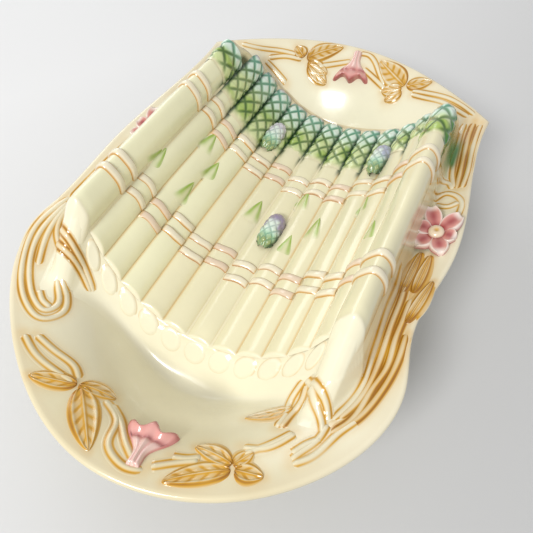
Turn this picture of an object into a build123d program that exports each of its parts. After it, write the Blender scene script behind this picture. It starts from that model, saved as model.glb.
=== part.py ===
"""Glazed earthenware asparagus platter: a deep lobed dish with a bed of moulded asparagus spears across it.

Frame: origin on the table under the bundle's middle line, halfway along the platter, X across the
spears, Y along them towards their tips, Z up. Millimetres. The dish, the hollow bed and each moulded
sprig are separate pieces of clay that meet face to face, the way the potter lutes them together.
"""
import os
from math import cos, pi, radians, sin, sqrt, tan

from build123d import *

# The dish
dish_length = 375.0
dish_width = 252.0
rim_height = 70.0
wall = 6.0
rim_lip = 3.0
foot_height = 4.0
foot_width = 8.0
vent_radius = 4.0
# The rim's outline: round lobe at the butt end, waist, pointed corners and an arch at the tip end. The lobe is
# a little uneven, fuller on the right over a deeper waist
lobe_radius = 128.0
lobe_side = 1.35
lobe_end_x = 5.0
lobe_overrun = 5.5
right_fullness = 6.5
left_fullness = -2.0
right_waist = 119.5
left_waist = 124.5
waist_y = -60.0
neck_half_width = 117.5
neck_y = 112.0
corner_half_width = 118.5
corner_y = 141.0
shoulder_x = 62.0
shoulder_y = 174.0
# The inside of the dish, as distance in from the rim and height above the table
flange_inset = 20.0
flange_height = 62.0
brow_inset = 35.0
brow_height = 50.0
slope_inset = 48.0
slope_height = 33.0
heel_inset = 58.0
heel_height = 18.0
floor_inset = 66.0
floor_height = 10.0

# The bed of spears
spear_count = 13
spear_pitch = 18.25
trough_radius = 86.0
trough_depth = 41.0
bed_wall = 6.0
skirt_top_half_width = 94.5
skirt_base_half_width = 104.0
butt_end_y = -98.0
butt_lean = 17.0
bevel_length = 52.0
tip_end_y = 131.0
tip_lean = 17.0
# The spears
spear_bulge = 3.5
outer_spear_radius = 8.0
outer_spear_rise = 3.5
outer_spear_shift = 3.0
butt_radius = 8.4
butt_relief = 1.2
butt_lap = 1.0
tip_radius = 8.8
tip_length = 46.0
tip_rise = 1.0
short_tip_radius = 7.2
short_tip_length = 34.0
# The twine round the bundle
twine_width = 4.5
twine_relief = 1.4
twine_gap = 13.0
twine_stagger = 1.5
lower_tie_y = -39.0
upper_tie_y = 52.0
# The pressed sprigs
leaf_relief = 2.6
stem_relief = 2.2
stem_width = 3.4
petal_relief = 4.0
petal_length = 18.0
petal_width = 13.0
eye_radius = 6.0
bract_relief = 1.2
bract_length = 22.0
bract_width = 8.0

# Worked out from the sizes above
half_length = dish_length / 2
half_width = dish_width / 2
lobe_y = lobe_radius - half_length
arch_radius = (shoulder_x**2 + (half_length - shoulder_y) ** 2) / (2 * (half_length - shoulder_y))
arch_y = half_length - arch_radius
axis_z = rim_height - trough_depth + trough_radius
spear_turn = spear_pitch / trough_radius
middle_spear = (spear_count + 1) / 2
crest_radius = trough_radius - spear_bulge
crest_z = axis_z - crest_radius
top_of_everything = axis_z + trough_radius

inside = [
    (rim_lip, rim_height),
    (flange_inset, flange_height),
    (brow_inset, brow_height),
    (slope_inset, slope_height),
    (heel_inset, heel_height),
    (floor_inset, floor_height),
]
outside = [(0.0, rim_height), (0.0, rim_height - rim_lip)]
for inset, height in inside[1:-1]:
    outside.append((inset - 0.65 * wall, height - 0.85 * wall))
outside.append((floor_inset - 0.8 * wall, foot_height))


def outline(inset):
    """The platter's plan outline as a flat sketch, drawn in from the rim by inset."""
    across = (half_width - inset) / half_width
    along = (half_length - inset) / half_length

    def at(x, y):
        return (x * across, y * along)

    def long_side(hand, fullness, waist):
        r = lobe_radius + fullness
        return [
            at(hand * r * sin(pi / 4), lobe_y - r * cos(pi / 4)),
            at(hand * lobe_radius * sin(lobe_side), lobe_y - lobe_radius * cos(lobe_side)),
            at(hand * waist, waist_y),
            at(hand * half_width, 0),
            at(hand * neck_half_width, neck_y),
            at(hand * corner_half_width, corner_y),
        ]

    right = long_side(1, right_fullness, right_waist)
    left = long_side(-1, left_fullness, left_waist)
    near_end = at(lobe_end_x, -half_length - lobe_overrun)
    far_end = at(0, half_length)
    with BuildSketch() as plan:
        with BuildLine():
            Spline(near_end, *right, tangents=[(1, 0), (0.1, 1)])
            Spline(near_end, *left, tangents=[(-1, 0), (-0.1, 1)])
            Spline(right[-1], at(shoulder_x, shoulder_y), far_end, tangents=[(-0.8, 0.6), (-1, 0)])
            Spline(left[-1], at(-shoulder_x, shoulder_y), far_end, tangents=[(0.8, 0.6), (1, 0)])
        make_face()
    return plan.sketch


def near(angle, inset):
    """A place on the butt end's rim: degrees round the lobe from its middle, and distance in."""
    r = lobe_radius - inset
    return (r * sin(radians(angle)), lobe_y - r * cos(radians(angle)))


def far(x, inset):
    """A place on the tip end's rim: distance across from its middle, and distance in."""
    return (x, arch_y + sqrt((arch_radius - inset) ** 2 - x**2))


def side(hand, y, inset):
    """A place on a long side of the rim: hand is 1 for right, -1 for left."""
    reach = y / neck_y if y > 0 else 0
    return (hand * (half_width + (neck_half_width - half_width) * reach - inset), y)


# Dish: the hollow inside first, then the clay round it
with BuildPart() as hollow:
    for inset, height in inside:
        with BuildSketch(Plane.XY.offset(height)):
            add(outline(inset))
    loft()

with BuildPart() as dish:
    for inset, height in reversed(outside[1:]):
        with BuildSketch(Plane.XY.offset(height)):
            add(outline(inset))
    loft()
    extrude(dish.faces().sort_by(Axis.Z)[-1], amount=rim_lip)
    add(hollow.part, mode=Mode.SUBTRACT)
    with Locations((0, 0, foot_height)):
        Cylinder(vent_radius, 2 * floor_height, mode=Mode.SUBTRACT)

with BuildPart() as foot_ring:
    with BuildSketch():
        add(outline(floor_inset - 0.8 * wall + 1))
    with BuildSketch():
        add(outline(floor_inset - 0.8 * wall + 1 + foot_width))
    extrude(foot_ring.pending_faces[0], amount=foot_height)
    extrude(foot_ring.pending_faces[-1], amount=foot_height, mode=Mode.SUBTRACT)

# Bed: a hollow saddle that spans the dish. Its far end is a leaning wall, and at its near end the trough
# turns down along a bevel into the dish
near_end = Plane(
    origin=(0, butt_end_y, crest_z),
    x_dir=(1, 0, 0),
    z_dir=(0, -cos(radians(butt_lean)), sin(radians(butt_lean))),
)
far_end = Plane(
    origin=(0, tip_end_y, crest_z),
    x_dir=(1, 0, 0),
    z_dir=(0, cos(radians(tip_lean)), sin(radians(tip_lean))),
)
bevel = Vector(0, -1, -1).normalized()
axis_plane = Plane(origin=(0, 0, axis_z), x_dir=(1, 0, 0), z_dir=(0, -1, 0))
outer_angle = spear_turn * (spear_count - middle_spear)
skirt_top_z = axis_z - trough_radius * cos(outer_angle)

with BuildPart() as room_over_dish:
    add(hollow.part)
    extrude(room_over_dish.faces().sort_by(Axis.Z)[-1], amount=top_of_everything)


def saddle_section(inset):
    """The bed's cross-section, all round smaller by inset."""
    base = skirt_base_half_width - inset
    top = skirt_top_half_width - inset
    with BuildSketch() as section:
        with BuildLine():
            Polyline(
                (-base, -axis_z),
                (-base, brow_height - axis_z),
                (-top, skirt_top_z - inset - axis_z),
                (top, skirt_top_z - inset - axis_z),
                (base, brow_height - axis_z),
                (base, -axis_z),
                close=True,
            )
        make_face()
        Circle(trough_radius + inset, mode=Mode.SUBTRACT)
    return section.sketch


def saddle_block(inset):
    """The bed as a solid block, all round smaller by inset."""
    with BuildPart() as block:
        with BuildSketch(axis_plane):
            add(saddle_section(inset))
        extrude(amount=half_length, both=True)
        split(bisect_by=near_end.offset(-inset), keep=Keep.BOTTOM)
        split(bisect_by=far_end.offset(-inset), keep=Keep.BOTTOM)
        extrude(block.faces().sort_by(Axis.Y)[0], amount=bevel_length, dir=bevel)
    return block.part


saddle = saddle_block(0)
with BuildPart() as bed:
    add(saddle)
    add(saddle_block(bed_wall), mode=Mode.SUBTRACT)
    add(room_over_dish.part, mode=Mode.INTERSECT)

finished = [(dish, "dish"), (foot_ring, "foot_ring"), (bed, "spear_bed")]


def spear_angle(number):
    """How far round the trough a spear lies, in radians from the bottom; spear 1 is at the left."""
    return (number - middle_spear) * spear_turn


def in_trough(number, radius):
    """A place in the trough's cross-section, on the trough's own axis plane."""
    return (radius * sin(spear_angle(number)), -radius * cos(spear_angle(number)))


def outward(number):
    """1 for a spear right of the middle, -1 for one left of it."""
    return 1 if number > middle_spear else -1


def roll_centre(number):
    """Middle of an outer spear's tip, on the trough's own axis plane."""
    x, z = in_trough(number, trough_radius)
    return (x + outward(number) * outer_spear_shift, z + outer_spear_rise)


def roll_line(number):
    """An outer spear's section from its groove, over its crest, to the bed's skirt."""
    hand = outward(number)
    brow = in_trough(number + 0.45 * hand, trough_radius - 0.4 * spear_bulge)
    return [
        in_trough(number - 0.5 * hand, trough_radius),
        in_trough(number, crest_radius),
        brow,
        (brow[0] + hand * outer_spear_radius / 2, brow[1] + outer_spear_rise),
        (hand * (skirt_top_half_width - 1.5), skirt_top_z - axis_z + outer_spear_radius * 0.9),
        (hand * (skirt_top_half_width + 1.5), skirt_top_z - axis_z - outer_spear_radius / 2),
    ]


def butt_place(number):
    """The plane on the bevel where a spear's cut butt sits."""
    x, z = in_trough(number, trough_radius)
    y = butt_end_y + tan(radians(butt_lean)) * (z + axis_z - crest_z)
    row = Vector(-z, tan(radians(butt_lean)) * x, x).normalized()
    middle = Vector(x, y, z + axis_z) + bevel * (butt_radius - butt_lap)
    return Plane(origin=middle, x_dir=row, z_dir=bevel.cross(row))


def stalk_section(number, proud):
    """Cross-section of one spear, proud of its plain surface by proud: outer spears roll over the crest."""
    with BuildSketch() as section:
        if number in (1, spear_count):
            with BuildLine():
                points = roll_line(number)
                Spline(*points)
                Line(points[-1], points[0])
            make_face()
            if proud:
                offset(amount=proud)
        else:
            with BuildLine():
                left = in_trough(number - 0.5, trough_radius)
                right = in_trough(number + 0.5, trough_radius)
                ThreePointArc(left, in_trough(number, crest_radius - proud), right)
                ThreePointArc(left, in_trough(number, trough_radius), right)
            make_face()
    return section.sketch


def tip_top_y(number):
    """Where a spear's tip ends, on the bed's leaning far wall."""
    height = in_trough(number, crest_radius)[1] + axis_z
    return tip_end_y - tan(radians(tip_lean)) * (height - crest_z)


def bud(radius, length):
    """An asparagus tip turned about its own axis, base on the origin, pointing along Y."""
    with BuildPart() as turned:
        with BuildSketch():
            with BuildLine():
                Line((0, length), (0, 0))
                Line((0, 0), (0.94 * radius, 0))
                Spline(
                    (0.94 * radius, 0),
                    (radius, 0.3 * length),
                    (0.84 * radius, 0.74 * length),
                    (0, length),
                    tangents=[(0.1, 1), (-1, 0.3)],
                )
            make_face()
        revolve(axis=Axis.Y)
    return turned.part


# Spears: a moulded stalk on the bed with its cut butt on the bevel, and a scaly tip. The outer spears are
# rolls along the bed's edges, and run down the bevel into the dish
spears = {}
tips = {}
for number in range(1, spear_count + 1):
    outer = number in (1, spear_count)
    base_y = tip_top_y(number) - tip_length
    tip_base = Plane(origin=(0, base_y, axis_z), x_dir=(1, 0, 0), z_dir=(0, -1, 0))
    with BuildPart() as spear:
        with BuildSketch(tip_base):
            add(stalk_section(number, 0))
        extrude(amount=base_y + half_length)
        split(bisect_by=near_end, keep=Keep.BOTTOM)
        if outer:
            extrude(spear.faces().sort_by(Axis.Y)[0], amount=bevel_length, dir=bevel)
            add(saddle, mode=Mode.SUBTRACT)
            add(room_over_dish.part, mode=Mode.INTERSECT)
            beside = number + 1 if number == 1 else number - 1
            with BuildSketch(tip_base):
                add(stalk_section(beside, 0))
            extrude(amount=base_y + half_length, mode=Mode.SUBTRACT)
    with BuildPart() as butt:
        with BuildSketch(butt_place(number).offset(-butt_relief)):
            Circle(butt_radius)
        extrude(amount=2 * butt_relief)
        add(saddle, mode=Mode.SUBTRACT)
    if not outer:
        with BuildPart() as cut_spear:
            add(spear.part)
            add(butt.part)
        spear = cut_spear
    with BuildPart() as tip:
        x, z = roll_centre(number) if outer else in_trough(number, crest_radius + tip_radius - tip_rise)
        place = Location((x, base_y, z + axis_z))
        add(bud(outer_spear_radius if outer else tip_radius, tip_length).moved(place))
        add(saddle, mode=Mode.SUBTRACT)
    spears[number] = spear
    tips[number] = tip
for number in (1, spear_count):
    beside = number + 1 if number == 1 else number - 1
    with BuildPart() as trimmed:
        add(tips[number].part)
        add(tips[beside].part, mode=Mode.SUBTRACT)
        add(spears[beside].part, mode=Mode.SUBTRACT)
    tips[number] = trimmed
for number in spears:
    finished.append((spears[number], f"spear_{number:02d}"))
for number in tips:
    finished.append((tips[number], f"spear_tip_{number:02d}"))

# Twine: two raised turns at each of two stations, in one short length over each spear
inner_first = list(range(2, spear_count)) + [1, spear_count]
for name, station in (("lower_twine", lower_tie_y), ("upper_twine", upper_tie_y)):
    with BuildPart() as twine:
        for number in inner_first:
            for turn in (-0.5, 0.5):
                middle = station + turn * twine_gap + twine_stagger * (-1) ** number
                start = Plane(origin=(0, middle + twine_width / 2, axis_z), x_dir=(1, 0, 0), z_dir=(0, -1, 0))
                with BuildSketch(start):
                    add(stalk_section(number, twine_relief))
                    add(stalk_section(number, 0), mode=Mode.SUBTRACT)
                    if number in (2, spear_count - 1):
                        add(stalk_section(1 if number == 2 else spear_count, 0), mode=Mode.SUBTRACT)
                    if number in (1, spear_count):
                        beside = number + 1 if number == 1 else number - 1
                        add(stalk_section(beside, twine_relief), mode=Mode.SUBTRACT)
                        add(saddle_section(0), mode=Mode.SUBTRACT)
                extrude(amount=twine_width)
    finished.append((twine, name))

# Three short tips that lie on the bundle
short_places = (
    ("short_tip_left", 4.8, upper_tie_y + 13),
    ("short_tip_right", 10.4, upper_tie_y + 13),
    ("short_tip_near", 7.0, lower_tie_y + 22),
)
for name, number, base_y in short_places:
    with BuildPart() as short_tip:
        x, z = in_trough(number, crest_radius + 3)
        add(bud(short_tip_radius, short_tip_length).moved(Location((x, base_y, z + axis_z))))
        for close in range(int(number) - 1, int(number) + 3):
            add(spears[close].part, mode=Mode.SUBTRACT)
            add(tips[close].part, mode=Mode.SUBTRACT)
        add(saddle, mode=Mode.SUBTRACT)
    finished.append((short_tip, name))
short_tips = [piece for piece, name in finished[-3:]]


def leaf(base, tip, width):
    """A pointed leaf's plan outline from base to tip."""
    along = Vector(*tip) - Vector(*base)
    across = Vector(-along.Y, along.X).normalized() * (width / 2)
    belly = Vector(*base) + along * 0.45
    with BuildSketch() as outline_of_leaf:
        with BuildLine():
            ThreePointArc(base, belly + across, tip)
            ThreePointArc(base, belly - across, tip)
        make_face()
    return outline_of_leaf.sketch


def strand(*points):
    """A stem's plan outline: one width along a smooth line through the points."""
    with BuildSketch() as outline_of_stem:
        with BuildLine() as path:
            Spline(*points)
        trace(path.line, line_width=stem_width)
    return outline_of_stem.sketch


def trumpet(base, mouth, base_width, mouth_width):
    """A bell flower's plan outline, seen from the side, from its narrow base to its open mouth."""
    along = Vector(*mouth) - Vector(*base)
    across = Vector(-along.Y, along.X).normalized()
    start = Vector(*base)
    end = Vector(*mouth)
    waist = start + along * 0.55
    start_half = across * base_width / 2
    waist_half = across * base_width * 0.9
    end_half = across * mouth_width / 2
    with BuildSketch() as outline_of_bell:
        with BuildLine():
            Line(start + start_half, start - start_half)
            Spline(start - start_half, waist - waist_half, end - end_half)
            ThreePointArc(end - end_half, end + along * 0.2, end + end_half)
            Spline(end + end_half, waist + waist_half, start + start_half)
        make_face()
    return outline_of_bell.sketch


# Small scale leaves lying between the spears, as spear position and place along it
bract_places = (
    (1.6, -12),
    (2.7, 28),
    (3.5, 14),
    (3.3, -14),
    (7.7, 28),
    (8.8, 10),
    (10.6, 28),
    (12.0, -8),
    (6.1, 8),
    (8.1, -10),
)
with BuildPart() as bracts:
    for number, y in bract_places:
        angle = spear_angle(number)
        lie = Plane(origin=(0, y, axis_z), x_dir=(0, 1, 0), z_dir=(sin(angle), 0, -cos(angle)))
        with BuildSketch(lie.offset(crest_radius - bract_relief)):
            add(leaf((-bract_length / 2, 0), (bract_length / 2, 0), bract_width))
        extrude(amount=bract_relief + 0.8 * spear_bulge)
    for number in range(2, spear_count):
        with BuildSketch(axis_plane):
            add(stalk_section(number, 0))
        extrude(amount=half_length, both=True, mode=Mode.SUBTRACT)
    for number in (1, spear_count):
        add(spears[number].part, mode=Mode.SUBTRACT)
    for piece in short_tips:
        add(piece.part, mode=Mode.SUBTRACT)
finished.append((bracts, "scale_leaves"))

# Sprigs pressed on the inside of the dish: each is a plan outline, followed over the dish's surface
near_left_node = near(-20, 22)
near_right_node = near(31.5, 11)
far_right_node = far(46, 18)
far_left_node = far(-43, 18)
right_flower_at = side(1, 24, 14)
left_flower_at = side(-1, 24, 14)


def rosette(centre):
    """Six petals round a centre."""
    with BuildSketch() as petals:
        for step in range(6):
            turn = radians(60 * step + 15)
            end = (centre[0] + petal_length * cos(turn), centre[1] + petal_length * sin(turn))
            add(leaf(centre, end, petal_width))
        with Locations(centre):
            Circle(eye_radius, mode=Mode.SUBTRACT)
    return petals.sketch


def disc(centre, radius):
    """A round plan outline."""
    with BuildSketch() as round_outline:
        with Locations(centre):
            Circle(radius)
    return round_outline.sketch


sprigs = [
    ("right_flower_eye", petal_relief, [disc(right_flower_at, eye_radius)]),
    ("left_flower_eye", petal_relief, [disc(left_flower_at, eye_radius)]),
    ("right_flower", petal_relief, [rosette(right_flower_at)]),
    ("left_flower", petal_relief, [rosette(left_flower_at)]),
    ("near_bell_flower", petal_relief, [trumpet(near(8.5, 6), near(9.5, 24), 8, 28)]),
    ("far_bell_flower", petal_relief, [trumpet(far(-2, 6), far(1, 24), 8, 28)]),
    ("near_left_leaves", leaf_relief, [
        leaf(near_left_node, near(-41, 8), 10),
        leaf(near_left_node, near(-29, 6), 11),
        leaf(near_left_node, near(-9.5, 31), 8),
        leaf(near_left_node, near(-2.5, 5), 17),
    ]),
    ("near_right_leaves", leaf_relief, [
        leaf(near_right_node, near(16, 5), 12),
        leaf(near_right_node, near(23, 22), 9),
        leaf(near_right_node, near(37, 5), 9),
        leaf(near_right_node, near(38, 16), 8),
    ]),
    ("far_right_leaves", leaf_relief, [
        leaf(far_right_node, far(22, 6), 13),
        leaf(far_right_node, far(65, 7), 8),
        leaf(far_right_node, far(33, 26), 7),
        leaf(far_right_node, far(38, 32), 7),
    ]),
    ("far_left_leaves", leaf_relief, [
        leaf(far_left_node, far(-18, 6), 12),
        leaf(far_left_node, far(-54, 9), 9),
        leaf(far_left_node, far(-22, 27), 8),
        leaf(far_left_node, far(-21, 33), 8),
    ]),
    ("folded_leaf", leaf_relief, [
        leaf(near(60, 44), near(36, 37), 11),
        leaf(near(60, 44), near(57, 15), 10),
    ]),
    ("right_side_leaves", leaf_relief, [
        leaf(side(1, -42, 12), side(1, -14, 7), 9),
        leaf(side(1, -60, 13), side(1, -44, 7), 6),
    ]),
    ("near_stem_loop", stem_relief, [
        strand(near(-17, 25), near(-5, 23), near(-2.5, 13), near(4, 7)),
        strand(near(-10, 25), near(-2, 19), near(4, 13)),
    ]),
    ("near_right_stems", stem_relief, [
        strand(near(12, 10), near(18, 13), near(24, 16)),
        strand(near(36, 20), near(42, 22), near(49, 21)),
        strand(near(44, 10), near(52, 16), near(57, 16)),
    ]),
    ("right_stems", stem_relief, [
        strand(near(58, 18), near(71, 20), side(1, -65, 20), side(1, -28, 22), side(1, -4, 23)),
        strand(near(60, 11), near(73, 12), side(1, -70, 9)),
        strand(side(1, -78, 14), side(1, -45, 15), side(1, -6, 15)),
    ]),
    ("right_ribbon", stem_relief, [
        strand(side(1, 62, 21), side(1, 59, 12), side(1, 48, 7)),
        strand(side(1, 64, 9), side(1, 100, 8), side(1, 138, 8)),
        strand(side(1, 65, 15), side(1, 100, 15), side(1, 138, 15)),
    ]),
    ("far_right_stems", stem_relief, [
        strand(far(104, 9), far(83, 9), far(58, 20)),
        strand(far(6, 7), far(15, 9), far(24, 16), far(31, 23)),
    ]),
    ("far_left_stems", stem_relief, [
        strand(far(-46, 20), far(-59, 20), far(-70, 22)),
        strand(far(-99, 8), far(-80, 12), far(-63, 13)),
        strand(far(-73, 24), far(-61, 30), far(-49, 36)),
    ]),
    ("left_ribbon", stem_relief, [
        strand(
            near(-88, 9),
            near(-72, 10),
            near(-61, 10),
            near(-52, 12),
            near(-46, 18),
            near(-46, 26),
            near(-54, 30),
            near(-64, 30),
        ),
        strand(near(-80, 11), near(-69, 14), near(-63, 19)),
        strand(near(-80, 17), near(-74, 27), near(-65, 38)),
    ]),
    ("left_stems", stem_relief, [
        strand(side(-1, 62, 21), side(-1, 59, 12), side(-1, 48, 7)),
        strand(side(-1, 64, 9), side(-1, 100, 8), side(-1, 138, 8)),
        strand(side(-1, -44, 14), side(-1, -20, 15), side(-1, 2, 14)),
    ]),
]
# A skin of clay over the dish, and one that also runs up over the bed's bevel
with BuildPart() as free_room:
    add(hollow.part)
    add(saddle, mode=Mode.SUBTRACT)


def skin_over(room, relief):
    """The layer of a given height at the bottom of a room, above the dish's floor."""
    with BuildPart() as skin:
        add(room)
        add(room.moved(Location((0, 0, relief))), mode=Mode.SUBTRACT)
        with Locations((0, 0, floor_height)):
            Box(dish_width, dish_length, 4 * relief, mode=Mode.SUBTRACT)
    return skin.part


skins = {}
for relief in (petal_relief, leaf_relief, stem_relief):
    skins[relief] = skin_over(hollow.part, relief)
climbing = {
    "folded_leaf": skin_over(free_room.part, leaf_relief),
    "left_ribbon": skin_over(free_room.part, stem_relief),
}
pressed = []
for name, relief, outlines in sprigs:
    with BuildPart() as sprig:
        with BuildSketch():
            for shape in outlines:
                add(shape)
        extrude(amount=rim_height)
        add(climbing.get(name, skins[relief]), mode=Mode.INTERSECT)
        add(saddle, mode=Mode.SUBTRACT)
        if name in climbing:
            add(spears[1].part, mode=Mode.SUBTRACT)
            add(spears[spear_count].part, mode=Mode.SUBTRACT)
        for other in pressed:
            if sprig.part.bounding_box().overlaps(other.part.bounding_box()):
                add(other.part, mode=Mode.SUBTRACT)
    pressed.append(sprig)
    finished.append((sprig, name))

os.makedirs("parts", exist_ok=True)
for piece, name in finished:
    piece.part.label = name
    export_step(piece.part, f"parts/{name}.step")
    print(name, len(piece.part.solids()), "solids")
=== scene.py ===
# %% [markdown]
# # A glazed asparagus platter
# We dress the CAD frame of a majolica platter with fine meshes and glazes. All sizes below are in
# millimetres in the platter's own frame: X across the spears, Y towards their tips, Z up from the
# table. Meshes are written in metres, so a point is divided by 1000 when it goes into Blender.

# %% Load the frame
import bpy
import math
import numpy as np
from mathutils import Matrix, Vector


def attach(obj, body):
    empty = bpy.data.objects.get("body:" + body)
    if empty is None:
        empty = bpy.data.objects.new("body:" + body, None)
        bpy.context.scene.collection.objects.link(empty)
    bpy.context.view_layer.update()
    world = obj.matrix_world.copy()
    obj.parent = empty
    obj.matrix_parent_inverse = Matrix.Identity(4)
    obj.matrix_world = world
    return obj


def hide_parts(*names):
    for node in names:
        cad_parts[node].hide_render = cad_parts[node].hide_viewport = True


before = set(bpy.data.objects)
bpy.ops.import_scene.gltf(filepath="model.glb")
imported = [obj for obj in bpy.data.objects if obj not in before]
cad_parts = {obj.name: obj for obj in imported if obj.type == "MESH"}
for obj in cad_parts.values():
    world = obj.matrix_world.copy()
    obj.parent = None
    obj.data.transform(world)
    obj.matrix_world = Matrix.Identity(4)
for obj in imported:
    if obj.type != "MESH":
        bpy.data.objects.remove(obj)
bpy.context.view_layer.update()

# %% [markdown]
# ## Small helpers
# `linear` turns an sRGB hex colour into the linear values that shaders and colour attributes want.
# `shaped_grid` adds Blender's own grid primitive and then moves its vertices: the function it is
# given gets each vertex's place on the grid, u and v from 0 to 1, and returns points and glaze
# colours.

# %% Helpers
def linear(code):
    values = [int(code[i:i + 2], 16) / 255 for i in (1, 3, 5)]
    return np.array([v / 12.92 if v <= 0.04045 else ((v + 0.055) / 1.055) ** 2.4 for v in values])


def mix(a, b, amount):
    """From colour a to colour b, for an amount from 0 to 1 at each vertex."""
    amount = np.clip(np.asarray(amount), 0, 1)[..., None]
    return a * (1 - amount) + b * amount


def step(low, high, value):
    """A smooth change from 0 at low to 1 at high."""
    t = np.clip((np.asarray(value, float) - low) / (high - low), 0, 1)
    return t * t * (3 - 2 * t)


def ridge(value, centre, width):
    """A bell-shaped bump with a height of 1."""
    return np.exp(-(((np.asarray(value) - centre) / width) ** 2))


def shaped_grid(name, columns, rows, shape, weld=False, closed=False):
    bpy.ops.object.select_all(action="DESELECT")
    bpy.ops.mesh.primitive_grid_add(x_subdivisions=columns, y_subdivisions=rows, size=2)
    piece = bpy.context.object
    piece.name = name
    piece.data.name = name
    count = len(piece.data.vertices)
    flat = np.zeros(count * 3)
    piece.data.vertices.foreach_get("co", flat)
    places = flat.reshape(-1, 3)
    points, colours = shape((places[:, 0] + 1) / 2, (places[:, 1] + 1) / 2)
    piece.data.vertices.foreach_set("co", (np.asarray(points) / 1000).ravel())
    glaze = piece.data.color_attributes.new("glaze", "FLOAT_COLOR", "POINT")
    glaze.data.foreach_set("color", np.c_[colours, np.ones(count)].ravel())
    piece.data.update()
    if weld or closed:
        bpy.ops.object.mode_set(mode="EDIT")
        bpy.ops.mesh.select_all(action="SELECT")
        bpy.ops.mesh.remove_doubles(threshold=0.00002)
        if closed:
            bpy.ops.mesh.normals_make_consistent(inside=False)
        bpy.ops.object.mode_set(mode="OBJECT")
    bpy.ops.object.shade_smooth()
    return piece


def join(name, pieces):
    """Make the pieces one mesh, with this name."""
    bpy.ops.object.select_all(action="DESELECT")
    for piece in pieces:
        piece.select_set(True)
    bpy.context.view_layer.objects.active = pieces[0]
    if len(pieces) > 1:
        bpy.ops.object.join()
    pieces[0].name = name
    pieces[0].data.name = name
    return pieces[0]


def finish_piece(piece, node, material):
    """Give the mesh its glaze and let it stand for the CAD node."""
    piece.data.materials.clear()
    piece.data.materials.append(material)
    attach(piece, "root")
    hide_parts(node)
    print(piece.name, len(piece.data.polygons), "faces")


# %% [markdown]
# ## Glaze colours
# A majolica glaze is thin on ridges and pools in hollows, so most pieces mix an ivory with a deeper
# colour.

# %% Colours
IVORY = linear("#e9e3c8")
# Painted shade: a darker ivory laid on the near flange and well.
IVORY_IN_PAINTED_SHADE = linear("#cdc198")
CREAM = linear("#e3dab6")
# A real pale green tint, kept lighter than the cream as painted light for stalks 1 to 4.
LIT_PALE_GREEN = linear("#ecebc6")
AMBER = linear("#cf9a1c")
BROWN = linear("#9c640a")
LEAF = linear("#c9d598")
MOSS = linear("#3f6412")
SPROUT = linear("#98b548")
AQUA = linear("#b2dabc")
MIST = linear("#dde9de")
TEAL = linear("#458a72")
DARK_GREEN = linear("#173f1a")
BOTTLE_GREEN = linear("#2b7410")
LILAC = linear("#a898ac")
PINK = linear("#dc988e")
ROSE = linear("#9c3338")
WHITE = linear("#f2e8de")
YELLOW = linear("#d9b04a")
TWINE = linear("#d9b8a0")
TWINE_EDGE = linear("#a8764f")
CLAY = linear("#d8c3a0")


def patchy(x, y):
    """Slow uneven changes from 0 to 1, for how thick a wash lies."""
    return 0.5 + 0.25 * np.sin(x / 5.3 + y / 7.1) + 0.25 * np.sin(y / 4.7 - x / 9.3)


def ground_glaze(y):
    """The dish's ivory, with painted shade that darkens it a little on the near flange."""
    return mix(IVORY, IVORY_IN_PAINTED_SHADE, 0.6 * step(-118, -170, y))


def green_run(x, y):
    """Where dark green glaze has run down on to the flange beside the last spear."""
    return 0.95 * step(94, 97, x) * (1 - step(104, 108, x)) * step(80, 88, y) * (1 - step(102, 122, y))


def amber_wash(ground, amount):
    """The ground, then amber, then brown as the glaze gets thicker: amount runs from 0 to 2."""
    amount = np.asarray(amount, float)
    return mix(mix(ground, AMBER, amount), BROWN, amount - 1)


# %% [markdown]
# ## The glaze material
# The real finish is a coat of coloured glass melted over fired clay, so it is smooth and shines
# softly. The colour comes from the mesh's own `glaze` attribute, because painting vertices lets the
# colour follow each ridge and groove, which a pattern laid over the whole platter could not. A slow
# noise makes the colour uneven, and a faint bump gives the slightly wavy surface of a dipped glaze.

# %% Material
CLOUD_SIZE = 38.0
RIPPLE_SIZE = 14.0
RIPPLE_HEIGHT = 0.6
GLASS_IOR = 1.52


def add_node(tree, kind, settings=None, values=None, links=None):
    node = tree.nodes.new(kind)
    for key, value in (settings or {}).items():
        setattr(node, key, value)
    for key, value in (values or {}).items():
        node.inputs[key].default_value = value
    for key, source in (links or {}).items():
        tree.links.new(source, node.inputs[key])
    return node


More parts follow.
